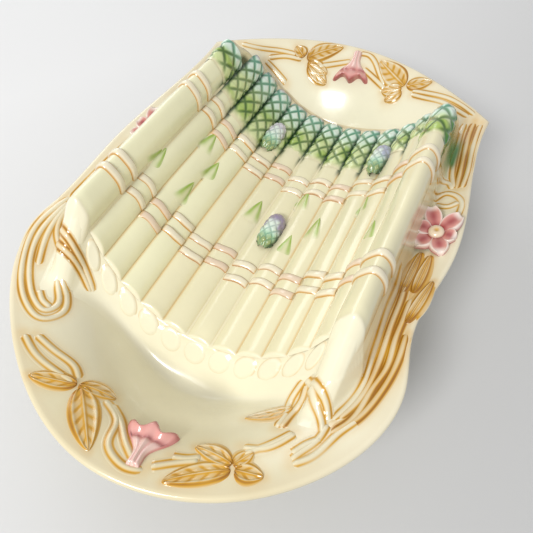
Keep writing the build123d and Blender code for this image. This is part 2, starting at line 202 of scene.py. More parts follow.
def glaze_material(name, roughness, tint, wave):
    material = bpy.data.materials.new(name)
    material.use_nodes = True
    tree = material.node_tree
    surface = tree.nodes["Principled BSDF"]
    paint = add_node(tree, "ShaderNodeAttribute", {"attribute_name": "glaze"})
    where = add_node(tree, "ShaderNodeTexCoord")
    cloud = add_node(
        tree,
        "ShaderNodeTexNoise",
        values={"Scale": 1000 / CLOUD_SIZE, "Detail": 4.0},
        links={"Vector": where.outputs["Object"]},
    )
    uneven = add_node(
        tree,
        "ShaderNodeMapRange",
        values={"From Min": 0.3, "From Max": 0.7, "To Min": 1 - tint, "To Max": 1.0},
        links={"Value": cloud.outputs["Fac"]},
    )
    # A colour mix takes its two colours at sockets 6 and 7, and gives the result at socket 2.
    shade = add_node(
        tree,
        "ShaderNodeMix",
        {"data_type": "RGBA", "blend_type": "MULTIPLY"},
        {"Factor": 1.0},
        {6: paint.outputs["Color"], 7: uneven.outputs["Result"]},
    )
    ripple = add_node(
        tree,
        "ShaderNodeTexNoise",
        values={"Scale": 1000 / RIPPLE_SIZE, "Detail": 2.0},
        links={"Vector": where.outputs["Object"]},
    )
    bump = add_node(
        tree,
        "ShaderNodeBump",
        values={"Strength": wave, "Distance": RIPPLE_HEIGHT / 1000},
        links={"Height": ripple.outputs["Fac"]},
    )
    tree.links.new(shade.outputs[2], surface.inputs["Base Color"])
    tree.links.new(bump.outputs["Normal"], surface.inputs["Normal"])
    surface.inputs["Roughness"].default_value = roughness
    surface.inputs["IOR"].default_value = GLASS_IOR
    surface.inputs["Coat Weight"].default_value = 0.5
    surface.inputs["Coat Roughness"].default_value = roughness / 2
    return material


# The pale glazes of the dish and the spears are an even coat with a broad shine.
ivory_glaze = glaze_material("ivory glaze, dipped over buff earthenware", 0.22, 0.05, 0.25)
spear_glaze = glaze_material("cream glaze, brushed on moulded spears", 0.22, 0.06, 0.25)
# The coloured glazes were laid on thick and ran, so they vary more in depth and are a little smoother.
tip_glaze = glaze_material("copper green glaze, brushed on moulded scales", 0.2, 0.12, 0.2)
leaf_glaze = glaze_material("amber iron glaze, run into moulded leaves", 0.2, 0.12, 0.2)
flower_glaze = glaze_material("pink glaze, brushed on moulded petals", 0.2, 0.1, 0.2)
print("glazes", [m.name for m in (ivory_glaze, spear_glaze, tip_glaze, leaf_glaze, flower_glaze)])

# %% [markdown]
# ## The shape of the dish
# The rim's outline is a smooth line through a few measured places. Going inwards, the outline shrinks
# towards the middle and drops along one profile: flange, brow, slope and floor. The dish could be
# modelled by hand from a circle, but as functions its shape can also place every leaf and stem on it
# later.

# %% Dish functions
HALF_LENGTH = 187.5
HALF_WIDTH = 126.0
FLOOR = 10.0
LOBE_END = (5, -193)
CORNER = (118.5, 141)


def smooth_line(places, start, end, count):
    """Cubic spline through the places with set directions at both ends, as count points."""
    places = np.array(places, float)
    n = len(places)
    s = np.r_[0, np.cumsum(np.hypot(*np.diff(places, axis=0).T))]
    h = np.diff(s)
    matrix = np.zeros((n, n))
    right = np.zeros((n, 2))
    matrix[0, 0] = 1
    matrix[-1, -1] = 1
    right[0] = np.array(start) / np.hypot(*start)
    right[-1] = np.array(end) / np.hypot(*end)
    for i in range(1, n - 1):
        matrix[i, i - 1] = 1 / h[i - 1]
        matrix[i, i] = 2 / h[i - 1] + 2 / h[i]
        matrix[i, i + 1] = 1 / h[i]
        before = (places[i] - places[i - 1]) / h[i - 1] ** 2
        after = (places[i + 1] - places[i]) / h[i] ** 2
        right[i] = 3 * (before + after)
    slope = np.linalg.solve(matrix, right)
    u = np.linspace(0, s[-1], count)
    k = np.clip(np.searchsorted(s, u) - 1, 0, n - 2)
    t = ((u - s[k]) / h[k])[:, None]
    hk = h[k][:, None]
    a = 2 * t**3 - 3 * t**2 + 1
    b = t**3 - 2 * t**2 + t
    c = -2 * t**3 + 3 * t**2
    d = t**3 - t**2
    return a * places[k] + b * hk * slope[k] + c * places[k + 1] + d * hk * slope[k + 1]


def along_line(line, part):
    """Place and direction on a line of points, at a part of it from 0 to 1: x, y, dx, dy."""
    index = np.arange(len(line))
    k = np.asarray(part, float) * (len(line) - 1)
    x, y = (np.interp(k, index, line[:, axis]) for axis in (0, 1))
    dx, dy = (np.interp(k, index, np.gradient(line[:, axis])) for axis in (0, 1))
    size = np.hypot(dx, dy)
    return x, y, dx / size, dy / size


def half_rim(hand, shoulder, waist):
    """One long side of the rim, from the lobe's end to the arch: hand is 1 for right, -1 for left."""
    side = [shoulder, (124.9, -87.5), (waist, -60), (126, 0), (117.5, 112), CORNER]
    arch = [CORNER, (62, 174), (0, HALF_LENGTH)]
    lower = [LOBE_END] + [(hand * x, y) for x, y in side]
    upper = [(hand * x, y) for x, y in arch]
    lower_line = smooth_line(lower, (hand, 0), (0.1 * hand, 1), 400)
    upper_line = smooth_line(upper, (-0.8 * hand, 0.6), (-hand, 0), 200)
    return np.vstack([lower_line, upper_line[1:]])


right_rim = half_rim(1, (95.1, -154.6), 119.5)
left_rim = half_rim(-1, (89.1, -148.6), 124.5)
rim_line = np.vstack([right_rim, left_rim[-2:0:-1]])
rim_angle = np.unwrap(np.arctan2(rim_line[:, 1], rim_line[:, 0]))
rim_reach = np.hypot(rim_line[:, 0], rim_line[:, 1])
flange = [(0, 70.2), (3, 69.6), (10, 66.8), (20, 62)]
slope = [(35, 50), (48, 33), (58, 18), (66, 11), (74, FLOOR)]
profile = smooth_line(flange + slope, (1, 0), (1, 0), 800)
print("rim", len(rim_line), "points, profile", len(profile), "points")


def rim_radius(angle):
    turn = (angle - rim_angle[0]) % (2 * np.pi) + rim_angle[0]
    return np.interp(turn, np.r_[rim_angle, rim_angle[0] + 2 * np.pi], np.r_[rim_reach, rim_reach[0]])


def inset_at(x, y):
    """How far in from the rim a place on the dish is."""
    low = np.zeros_like(x) - 6
    high = np.zeros_like(x) + 110
    for _ in range(34):
        middle = (low + high) / 2
        px = x / (1 - middle / HALF_WIDTH)
        py = y / (1 - middle / HALF_LENGTH)
        outside = np.hypot(px, py) > rim_radius(np.arctan2(py, px))
        high = np.where(outside, middle, high)
        low = np.where(outside, low, middle)
    return (low + high) / 2


def dish_height(x, y):
    return np.interp(inset_at(x, y), profile[:, 0], profile[:, 1])


# %% [markdown]
# ## Camera and light first
# The camera was worked out from the photograph: the rim is nearly mirror-symmetric and the spears are
# parallel, which fixes a wide phone lens about 30 cm away. A soft window in front, another on the far
# left, and a pale room give the broad soft shine on the glaze.

# %% Camera and light
PHOTO_WIDTH_PIXELS = 533
FOCAL_LENGTH_PIXELS = 490
SENSOR_WIDTH = 36
scene = bpy.context.scene
scene.view_settings.view_transform = "Standard"
camera_data = bpy.data.cameras.new("camera")
camera_data.sensor_width = SENSOR_WIDTH
camera_data.lens = FOCAL_LENGTH_PIXELS / PHOTO_WIDTH_PIXELS * SENSOR_WIDTH
camera_data.clip_start = 0.01
camera = bpy.data.objects.new("camera", camera_data)
scene.collection.objects.link(camera)
camera.location = (0.09848, -0.19897, 0.31731)
aim = Vector((0.02559, -0.05177, 0.070)) - camera.location
camera.rotation_euler = aim.to_track_quat("-Z", "Y").to_euler()
scene.camera = camera


def soft_window(name, place, target, size, power, colour):
    bpy.ops.object.light_add(type="AREA", location=place)
    lamp = bpy.context.object
    lamp.name = name
    lamp.data.shape = "RECTANGLE"
    lamp.data.size = size[0]
    lamp.data.size_y = size[1]
    lamp.data.energy = power
    lamp.data.color = colour
    lamp.rotation_euler = (Vector(target) - Vector(place)).to_track_quat("-Z", "Y").to_euler()


soft_window("window in front", (-0.12, -0.85, 0.82), (0, -0.02, 0.05), (0.36, 0.3), 9, (1, 1, 0.99))
soft_window("window left", (-0.85, 0.55, 0.6), (-0.2, 0.2, 0), (0.6, 0.6), 2.5, (0.98, 0.99, 1))
world = bpy.data.worlds.new("pale room")
scene.world = world
world.use_nodes = True
room = world.node_tree.nodes["Background"]
room.inputs["Color"].default_value = (1, 1, 1, 1)
room.inputs["Strength"].default_value = 0.66
print("camera", camera.location, "lens", camera_data.lens)

# %% [markdown]
# ## The floor
# The platter stands on a sheet of matt white paper, which takes its soft shadow. In the photograph
# the paper is darker towards the front right, so painted shade deepens slowly along that diagonal.

# %% Floor
DIAGONAL = (-0.84, 0.58, 0)
bpy.ops.mesh.primitive_plane_add(size=6, location=(0, 0, 0))
floor = bpy.context.object
floor.name = "floor"
paper = bpy.data.materials.new("matt white studio paper")
paper.use_nodes = True
paper_surface = paper.node_tree.nodes["Principled BSDF"]
paper_where = add_node(paper.node_tree, "ShaderNodeTexCoord")
paper_across = add_node(
    paper.node_tree,
    "ShaderNodeVectorMath",
    {"operation": "DOT_PRODUCT"},
    {1: DIAGONAL},
    {0: paper_where.outputs["Object"]},
)
# Painted shade: the paper's colour darkens towards the front right along DIAGONAL.
paper_painted_shade = add_node(
    paper.node_tree,
    "ShaderNodeMapRange",
    values={"From Min": -0.25, "From Max": 0.3, "To Min": 0.52, "To Max": 0.74},
    links={"Value": paper_across.outputs["Value"]},
)
paper.node_tree.links.new(paper_painted_shade.outputs["Result"], paper_surface.inputs["Base Color"])
paper_surface.inputs["Roughness"].default_value = 0.9
floor.data.materials.append(paper)
print("floor", [round(v, 2) for v in floor.dimensions])

# %% [markdown]
# ## The dish
# The grid runs once round the rim in u, and in v from the middle of the floor, up the inside, over
# the rounded lip and back down the outside to the middle of the underside.

# %% Dish
UNDERSIDE = 4.0
outside = [(0, 67), (1.5, 64.5), (16, 57), (31, 45), (44, 28), (54, 13), (61, 4.5)]
lip = [(2.6, 70.0), (1.6, 70.2), (0.7, 69.7), (0.15, 68.6)]
section = np.vstack([
    np.c_[np.linspace(HALF_WIDTH, 74, 60, endpoint=False), np.full(60, FLOOR)],
    profile[::-1][:-40],
    lip,
    smooth_line(outside, (0, -1), (1, -0.6), 300),
    np.c_[np.linspace(62, HALF_WIDTH, 60), np.full(60, UNDERSIDE)],
])
section_length = np.r_[0, np.cumsum(np.hypot(*np.diff(section, axis=0).T))]


def dish_shape(u, v):
    spread = np.interp(v, np.linspace(0, 1, 9), [0, 0.16, 0.27, 0.38, 0.49, 0.52, 0.66, 0.82, 1])
    along = spread * section_length[-1]
    inset = np.interp(along, section_length, section[:, 0])
    height = np.interp(along, section_length, section[:, 1])
    x, y, _, _ = along_line(np.vstack([rim_line, rim_line[:1]]), u)
    points = np.stack([x * (1 - inset / HALF_WIDTH), y * (1 - inset / HALF_LENGTH), height], 1)
    colours = mix(ground_glaze(points[:, 1]), CLAY, 0.25 * ridge(height, 69.5, 1.2))
    return points, mix(colours, BOTTLE_GREEN, green_run(points[:, 0], points[:, 1]))


dish = shaped_grid("dish_glazed", 420, 190, dish_shape, closed=True)
finish_piece(dish, "dish", ivory_glaze)

# %% [markdown]
# ## The shape of the bed
# The bed is a saddle over the dish: a round trough with a skirt down each side. At its near end the
# trough turns down at 45 degrees and runs softly into the well, so the inside of the platter is the
# higher of the dish and that bevel, with a rounded angle between them. Sprigs are draped over this
# joint surface. The left half of the real bundle leans to the right towards the tips, which `drift`
# gives to all that lies on the bed.

# %% Bed functions
AXIS_Z = 115.0
TROUGH = 86.0
SPEAR_WIDTH = 18.25
TURN = SPEAR_WIDTH / TROUGH
TROUGH_EDGE = 78.5
CREST_TOP = 101.6
BUTT_END = -98.0
TIP_END = 131.0
END_LEVEL = 32.5
END_SLOPE = math.tan(math.radians(17))
LEAN = 7.5
crest_places = [(79.1, 81.3), (78.8, 90.6), (82.8, 98), (86.8, CREST_TOP), (93, 97), (96, 85.8)]
crest_line = smooth_line(crest_places, (-0.2, 1), (0.2, -1), 200)
skirt_reach = [TROUGH_EDGE, 80, 82.8, 86.8, 90, 93, 96, 105, 112]
skirt_height = [80.5, 92.5, 97.7, 101.2, 99.8, 96.5, 85.5, 50, 25]


def butt_y(z):
    """Where the bed's leaning near end lies at a height."""
    return BUTT_END + END_SLOPE * (z - END_LEVEL)


def tip_y(x, z):
    """Where the tips end: a leaning plane too, but the spears on the left are a little longer."""
    further = np.interp(x, [-82, -76, -66, -52, -38, -20], [0, LEAN, LEAN, 5, 1.5, 0])
    return TIP_END - END_SLOPE * (z - END_LEVEL) - 5 * step(80, 98, z) + further


def bed_height(x):
    reach = np.abs(x)
    trough = AXIS_Z - np.sqrt(TROUGH**2 - np.clip(reach, 0, 84) ** 2)
    return np.where(reach < TROUGH_EDGE, trough, np.interp(reach, skirt_reach, skirt_height))


def bed_surface(x, y):
    top = bed_height(x)
    return top + np.minimum(0, y - butt_y(top)) - 3 * np.maximum(0, y - tip_y(x, top))


def drift(x, y):
    """How far the bundle's left half has been pushed to the right towards the tips."""
    return LEAN * np.clip((y + 60) / 190, 0, 1) ** 1.5 * np.clip((30 - x) / 110, 0, 1)


def drifted(x, y, z):
    return np.stack([x + drift(x, y), y, z], 1)


def bed_foot(dish_z, bed_z, x, y):
    """The bed's own height, or near the dish that of the rounded angle between them."""
    soft = 3.5 + 3 * step(88, 96, x) * ridge(y, 88, 20)
    joint = (dish_z + bed_z) / 2 + np.sqrt(((dish_z - bed_z) / 2) ** 2 + soft**2)
    return np.where(bed_z > dish_z + 20, bed_z, joint - step(20, 4, bed_z - dish_z))


def inside_height(x, y):
    """What shows on the platter's inside: the dish, or the bed where that is higher."""
    dish_z = dish_height(x, y)
    bed_z = bed_surface(x - drift(x, y), y)
    return np.maximum(dish_z, bed_foot(dish_z, bed_z, x, y))


def on_dish(x, y, lift):
    """Points on the platter's inside, lifted off it along its own slope's normal."""
    x = np.asarray(x, float)
    y = np.asarray(y, float)
    z = inside_height(x, y)
    sx = inside_height(x + 0.5, y) - inside_height(x - 0.5, y)
    sy = inside_height(x, y + 0.5) - inside_height(x, y - 0.5)
    size = np.sqrt(sx**2 + sy**2 + 1)
    return np.stack([x - lift * sx / size, y - lift * sy / size, z + lift / size], 1)


# %% [markdown]
# ## The bed
# Its grid runs across the spears in u and along them in v. Beyond the bevel, the skirts and the far
# wall it goes on a little way under the dish's surface, where its hem dips, so only the rounded angle
# between them shows.

# %% Bed
BED_REACH = 113.0
FOOT_RUN = 62.0
LOBE_MIDDLE = -59.5
LOBE_REACH = 124.0
HEM_DIP = 2.0


def bed_shape(u, v):
    x = np.interp(u, [0, 0.16, 0.84, 1], [-BED_REACH, -83, 83, BED_REACH])
    top = bed_height(x)
    near = butt_y(top)
    far = tip_y(x, top)
    start = np.maximum(near - FOOT_RUN, LOBE_MIDDLE - np.sqrt(LOBE_REACH**2 - x**2))
    beyond = far + np.interp(np.abs(x), [84, 96, 104, BED_REACH], [26, 13, 9, 1])
    y = start + (near - start) * np.clip(v / 0.3, 0, 1)
    y = y + (far - near) * np.clip((v - 0.3) / 0.52, 0, 1)
    y = y + (beyond - far) * np.clip((v - 0.82) / 0.18, 0, 1)
    bed_z = bed_surface(x, y)
    place = x + drift(x, y)
    hem = 1 - step(0, 0.08, v) * step(0, 0.02, u) * step(0, 0.02, 1 - u)
    z = bed_foot(dish_height(place, y), bed_z, place, y) - HEM_DIP * hem
    between = (np.abs(x) < 80) * step(70, 92, y) * (1 - step(-9, -4, y - far))
    colours = mix(ground_glaze(y), CREAM, step(-6, 6, y - near))
    shade = 0.35 * ridge(y - far, 1, 2.5) + 0.12 * step(0, 6, y - far)
    flank = step(89, 93, x) * (1 - step(104, 108, x)) * ridge(y, 94, 15)
    colours = mix(mix(colours, BROWN, shade), DARK_GREEN, between)
    return drifted(x, y, z), mix(colours, BOTTLE_GREEN, 0.95 * flank)


bed = shaped_grid("spear_bed_glazed", 240, 220, bed_shape)
finish_piece(bed, "spear_bed", spear_glaze)

# %% [markdown]
# ## The stalks
# Each stalk is a shallow roll between two grooves. The two outer ones are full rolls over the bed's
# crest, and they run a little way down the bevel. A thin line of amber has run into the grooves, and
# dark green comes down them from the tips. The cut butts are low soft bosses on the bevel.

# %% Stalks
OUTER = (1, 13)
OUTER_RUN = 16.0
ROLL_X = 85.5
ROLL_Z = 90.0
BUTT_SIZE = 9.1
BEVEL = math.sqrt(0.5)
TIP_BASE = {1: 78, 2: 74, 3: 69, 4: 66, 5: 72, 6: 82, 7: 84, 8: 81, 9: 78, 10: 80, 11: 90, 12: 92, 13: 74}


def stalk_point(number, side, lift, full=1.0):
    """A place on a spear's surface: side runs from -1 to 1 across it, lift is height off it."""
    side = np.asarray(side, float)
    if number in OUTER:
        hand = 1 if number == 13 else -1
        x, z, dx, dz = along_line(crest_line, (side * hand + 1) / 2)
        x = ROLL_X + (x - ROLL_X) * full - lift * dz
        z = ROLL_Z + (z - ROLL_Z) * full + lift * dx
        return hand * x, z
    middle = (number - 7) * TURN
    across = TROUGH * math.sin(TURN / 2) * side
    up = TROUGH * math.cos(TURN / 2) - 2.6 * (1 - np.abs(side) ** 2.3) * full - lift
    x = up * math.sin(middle) + across * math.cos(middle)
    z = AXIS_Z - up * math.cos(middle) + across * math.sin(middle)
    return x, z


def make_stalk(number):
    outer = number in OUTER
    base = TIP_BASE[number]

    def stalk_shape(u, v):
        # Reach goes from 0 at the butt to 200 at the tip, and below 0 down the bevel.
        side = 2 * u - 1
        first = -OUTER_RUN if outer else 0
        reach = np.where(v < 0.12, first + (3 - first) * v / 0.12, 3 + 197 * (v - 0.12) / 0.88)
        down = np.maximum(0, -reach)
        end = np.clip(1 - reach / 2.2, 0, 1)
        full = np.ones_like(end) if outer else np.sqrt(1 - end**2)
        wobble = 0.3 * np.sin(reach / 21 + 2 * number) + 0.15 * np.sin(reach / 9 + number)
        lift = wobble * (1 - side**2) * step(2, 8, reach) - 1.4 * step(0, OUTER_RUN, down)
        x, z = stalk_point(number, side, lift, full)
        near = butt_y(z)
        y = near + (base + 14 - near) * np.maximum(0, reach) / 200 - down
        # Real green tint, and painted light: stalks 1 to 4 get more of it so they look brighter.
        paint = mix(CREAM, LIT_PALE_GREEN, (0.7 if number < 5 else 0.25) * (1 - end))
        paint = mix(paint, AMBER, 0.5 * step(0.84, 1.0, np.abs(side)))
        run = 17 if number < 7 else 12
        streak = step(0.62, 0.9, np.abs(side)) * step(base - run, base - 2, y)
        paint = mix(paint, DARK_GREEN, 0.95 * streak)
        paint = mix(paint, IVORY, 0.9 * step(0.1, 0.9, end))
        return drifted(x, y, z - down), paint

    def butt_shape(u, v):
        turn = -2 * np.pi * u
        boss = 1.1 * (1 - step(0.6, 1.0, v)) - 0.25 * step(0.9, 1, v)
        middle = (number - 7) * TURN + BUTT_SIZE * v * np.cos(turn) / TROUGH
        down = 7.6 - BUTT_SIZE * v * np.sin(turn)
        x = (TROUGH - boss * BEVEL) * np.sin(middle)
        z = AXIS_Z - (TROUGH - boss * BEVEL) * np.cos(middle)
        y = butt_y(z) - (down + boss) * BEVEL
        return drifted(x, y, z - down * BEVEL), mix(IVORY, AMBER, 0.32 * ridge(v, 0.9, 0.08))

    pieces = [shaped_grid("stalk", 30, 130, stalk_shape)]
    if not outer:
        pieces.append(shaped_grid("butt", 40, 16, butt_shape, weld=True))
    return join(f"spear_{number:02d}_glazed", pieces)


for number in range(1, 14):
    finish_piece(make_stalk(number), f"spear_{number:02d}", spear_glaze)

# %% [markdown]
# ## The tips
# A tip carries on its stalk's roll, a little fuller, and rounds off at the far end. Pointed scales
# cover it as a diamond lattice: two families of diagonal lines are the grooves, and each scale swells
# between them. The green is thickest near the base and in the grooves, and turns to a milky aqua and
# lilac towards the end.

# %% Tips
def lattice(across, rise):
    """Distance from the nearest diagonal groove, and how far up its scale a place is."""
    p = across + rise
    q = rise - across
    line = np.minimum(np.abs(p - np.round(p)), np.abs(q - np.round(q)))
    return line, ((p + q) / 2) % 1


def scale_paint(v, side, line, swell, brush):
    edge = np.abs(side)
    paint = mix(LEAF, SPROUT, 0.8 * step(0.45, 0.8, brush))
    paint = mix(paint, AQUA, step(0.4, 0.75, v))
    paint = mix(paint, MIST, 0.9 * swell * step(0.42, 0.75, v))
    paint = mix(paint, LILAC, 0.85 * step(0.88, 0.98, v))
    ink = mix(MOSS, TEAL, step(0.55, 0.9, v))
    paint = mix(paint, ink, (0.75 + 0.25 * brush) * (1 - step(0.04, 0.24, line)) * step(0.02, 0.2, v))
    paint = mix(paint, DARK_GREEN, 0.95 * step(0.72, 0.95, edge) * (1 - 0.75 * step(0.6, 0.95, v)))
    return mix(paint, CREAM, (1 - step(0.0, 0.14, v)) * (1 - 0.8 * step(0.7, 0.95, edge)))


SCALE_LENGTH = 13.0


def make_tip(number):
    outer = number in OUTER
    middle, crest = stalk_point(number, 0, 0)
    base = TIP_BASE[number] - 3
    end = tip_y(middle, CREST_TOP if outer else crest) + 0.5
    columns = 3.2 if outer else 1.65
    rows = (end - base) / SCALE_LENGTH

    def tip_shape(u, v):
        side = 2 * u - 1
        close = np.clip((v - 0.84) / 0.16, 0, 1)
        full = np.sqrt(1 - close**2)
        narrow = 1 if outer else 1 - 0.3 * close**2
        line, part = lattice(side * columns / 2, v * rows)
        swell = step(0.03, 0.3, line)
        lift = (0.15 + 1.0 * step(0.0, 0.3, v) * (1 - np.abs(side) ** 3)) * full
        lift = lift + swell * (0.5 + 0.35 * part) * step(0, 0.12, v) * full - 0.3 * (1 - full)
        x, z = stalk_point(number, side * narrow, lift, full)
        y = base + (end - base) * v
        paint = scale_paint(v, side, line, swell, patchy(11 * side + 23 * number, 45 * v))
        if number == 13:
            paint = mix(paint, BOTTLE_GREEN, 0.95 * step(0.25, 0.5, side) * (1 - step(0.85, 1, v)))
        return drifted(x, y, z), paint

    return shaped_grid(f"spear_tip_{number:02d}_glazed", 110 if outer else 64, 96, tip_shape)


for number in range(1, 14):
    finish_piece(make_tip(number), f"spear_tip_{number:02d}", tip_glaze)

# %% [markdown]
# The three short tips lie on the bundle by themselves. Each is a whole bud, round in section and sunk
# a little in the stalks, with a pale or violet hood over its far half.

# %% Short tips
SHORT_AXIS = 83.0
SHORT_LENGTH = 32.0
SHORT_RADIUS = 7.2
bud_along = [0, 0.1, 0.25, 0.45, 0.7, 0.85, 0.95, 1]
bud_size = [0.3, 0.72, 0.92, 1, 1, 0.88, 0.6, 0.02]


def make_short_tip(node, position, base, hood):
    middle = (position - 7) * TURN

    def short_shape(u, v):
        side = 2 * u - 1
        edge = np.abs(side)
        turn = 1.75 * side - middle
        line, part = lattice(2.0 * side, 4.4 * v)
        swell = step(0.03, 0.3, line)
        size = SHORT_RADIUS * np.interp(v, bud_along, bud_size)
        size = size + swell * (0.8 + 0.3 * part) * (1 - 0.8 * v)
        x = SHORT_AXIS * math.sin(middle) + size * np.sin(turn)
        z = AXIS_Z - SHORT_AXIS * math.cos(middle) + size * np.cos(turn)
        y = base + SHORT_LENGTH * v
        paint = mix(mix(LEAF, MOSS, 0.5), AQUA, step(0.1, 0.35, v))
        paint = mix(paint, MIST, 0.95 * step(0.25, 0.45, v))
        arch = np.maximum(step(0.6, 0.78, v), step(0.28, 0.48, edge) * step(0.38, 0.55, v))
        paint = mix(paint, hood, 0.9 * arch)
        ink = mix(TEAL, LILAC, 0.8 * step(0.4, 0.65, v))
        paint = mix(paint, ink, 0.55 * (1 - step(0.02, 0.2, line)))
        paint = mix(paint, DARK_GREEN, 0.9 * step(0.55, 0.85, edge) * (1 - step(0.35, 0.75, v)))
        return drifted(x, y, z), paint

    tip = shaped_grid(f"{node}_glazed", 56, 64, short_shape)
    finish_piece(tip, node, tip_glaze)


make_short_tip("short_tip_left", 4.8, 66, linear("#d6d0dc"))
make_short_tip("short_tip_right", 10.4, 66, linear("#a8aec8"))
make_short_tip("short_tip_near", 7.2, -16, linear("#8f7aa0"))

# %% [markdown]
# ## The twine
# Two raised turns at each of two stations. Each spear carries its own short length, set a little up
# or down from its neighbour's, with thin pinkish brown glaze along both edges.

# %% Twine
TURN_SPACING = 13.0
TWINE_STAGGER = 2.2


def make_twine(node, station):
    lengths = []
    for number in range(1, 14):
        for turn in (-TURN_SPACING / 2, TURN_SPACING / 2):
            middle = station + turn + TWINE_STAGGER * (-1) ** number

            def twine_shape(u, v):
                side = (2 * u - 1) * 0.98
                across = 2 * v - 1
                lift = 1.8 * (1 - np.abs(across) ** 3) - 0.25
                x, z = stalk_point(number, side, lift * (1 - 0.5 * np.abs(side) ** 8))
                y = middle + 3.2 * across + 0.5 * np.sin(3 * side + number)
                edge = step(0.6, 0.9, np.abs(across))
                band = mix(IVORY, TWINE, 0.15 + 0.45 * (number % 3 == 0))
                brown = mix(TWINE_EDGE, AMBER, 0.2 if 4 < number < 10 else 0.6)
                paint = mix(band, brown, 0.95 * edge)
                return drifted(x, y, z), mix(paint, AMBER, 0.7 * step(0.86, 1, np.abs(side)))

            lengths.append(shaped_grid("length", 26, 14, twine_shape))
    finish_piece(join(f"{node}_glazed", lengths), node, spear_glaze)


make_twine("lower_twine", -39)
make_twine("upper_twine", 52)

# %% [markdown]
# ## The scale leaves
# Small pointed scales stand out a little from the stalks, often across the groove between two of
# them. Green glaze lies along both edges and gathers at the point. A place is given by the spear it
# lies on, where 1.5 is the groove between the first two, and by Y.

# %% Scale leaves
SCALE_LEAF_LENGTH = 22.0
bract_places = [(1.55, -12), (2.7, 33), (3.6, 17), (3.3, -12), (7.7, 37), (8.9, 11)]
bract_places += [(10.7, 33), (12.1, -5), (6.1, 11), (8.1, -9)]
leaves = []
for position, middle in bract_places:

    def bract_shape(u, v):
        across = 2 * u - 1
        width = 0.46 * (1 - v) ** 0.8 * step(0, 0.1, v) + 0.01
        spot = position + across * width
        lift = 0.6 * (1 - np.abs(across) ** 3) * step(0, 0.5, v) - 0.1
        number = np.clip(np.round(spot), 1, 13)
        x = np.zeros_like(u)
        z = np.zeros_like(u)
        for each in np.unique(number):
            on = number == each
            side = (spot[on] - each) * 2
            if each in OUTER:
                side = -math.copysign(1, each - 7) * (1 - 0.55 * (1 - np.abs(side)))
            x[on], z[on] = stalk_point(int(each), side, lift[on])
        y = middle + SCALE_LEAF_LENGTH * (v - 0.5)
        # Real green tint, and painted light: scales on stalks 1 to 4 get more of it, as the stalks do.
        plain = mix(CREAM, LIT_PALE_GREEN, 0.7 if position < 4.5 else 0.25)
        tone = ridge(np.abs(across), 0.6, 0.3) * step(0.0, 0.4, v) + 0.5 * step(0.5, 0.9, v)
        tone = tone + 0.35 * ridge(across, -0.2, 0.35) * step(0.05, 0.4, v)
        tone = tone * (1 - step(0.8, 1, np.abs(across)))
        return drifted(x, y, z), mix(plain, SPROUT, 0.85 * tone)

    leaves.append(shaped_grid("scale", 18, 24, bract_shape))
finish_piece(join("scale_leaves_glazed", leaves), "scale_leaves", tip_glaze)

# %% [markdown]
# ## Leaves and stems on the rim
# Every sprig is a strip of mesh draped over the platter, so that it lies on the flange and climbs the
# bevel as the real, luted-on clay does. A leaf has a raised pale edge, a midrib and soft side veins
# in an amber wash. A stem is a round pale ridge with amber in the angle along both of its sides. The
# strip's ends dip under the surface and its edges lie close to it, so no border shows. Each strip's
# middle line is kept, so that the amber stain can later spread on to the dish itself.

# %% Sprig functions
LEAF_MARGIN = 1.8
VEIN_SPACING = 6.5
STEM_WIDTH = 3.0
STEM_HEIGHT = 0.75
STEM_MARGIN = 2.1
stain_places = []


def leaf_mesh(base, tip, width, bend=0.0, wash=1.0, veined=1.0):
    base = np.array(base, float)
    tip = np.array(tip, float)
    along = tip - base
    length = np.hypot(*along)
    across = np.array([-along[1], along[0]]) / length
    spread = (width / 2 + LEAF_MARGIN) / (width / 2)
    for t in np.linspace(0, 1, 12):
        spot = base + along * t + across * bend * 4 * t * (1 - t)
        stain_places.append((*spot, width * 0.42 * math.sin(math.pi * t) + 1.5, wash))

    def leaf_shape(u, v):
        side = (1 - 2 * u) * spread
        fold = np.abs(side)
        t = v * 1.06 - 0.03
        inner = np.clip(t, 0, 1)
        half = width / 2 * np.sin(np.pi * inner**0.8) ** 0.7 + 0.25
        offset = side * half + np.sign(side) * np.clip(fold - 1, 0, 1) * 1.5
        middle = base + np.outer(t, along) + np.outer(bend * 4 * inner * (1 - inner), across)
        place = middle + offset[:, None] * across
        x, y = place.T
        veins = 0.5 + 0.5 * np.cos(2 * np.pi * (inner * length / VEIN_SPACING - fold * 0.9))
        lift = 0.55 * (1 - step(0.92, spread, fold)) + 0.4 * ridge(fold, 0, 0.14)
        lift = lift + 0.4 * ridge(fold, 0.86, 0.15) - 0.3 * ridge(fold, 0.5, 0.28)
        lift = lift + 0.18 * veins * ridge(fold, 0.5, 0.3)
        ends = step(0, 0.05, v) * (1 - step(0.95, 1, v))
        lift = lift * ends - 0.35 * (1 - ends) - 0.5 * step(spread * 0.97, spread, fold)
        pool = 0.55 + 0.8 * veined * ridge(veins, 0, 0.3) * ridge(fold, 0.5, 0.32)
        pool = pool + 0.6 * ridge(fold, 0.13, 0.08) + 1.0 * ridge(fold, 1.05, 0.13)
        pool = pool - 0.45 * ridge(fold, 0.84, 0.1) - 0.4 * ridge(fold, 0, 0.05)
        pool = (pool + 0.6 * (1 - step(0.0, 0.3, inner))).clip(0, 2)
        pool = pool * (1 - step(0.92 * spread, spread, fold))
        pool = wash * pool * (0.75 + 0.5 * patchy(x, y))
        return on_dish(x, y, lift), amber_wash(ground_glaze(y), pool)

    return shaped_grid("leaf", 36, 48, leaf_shape)


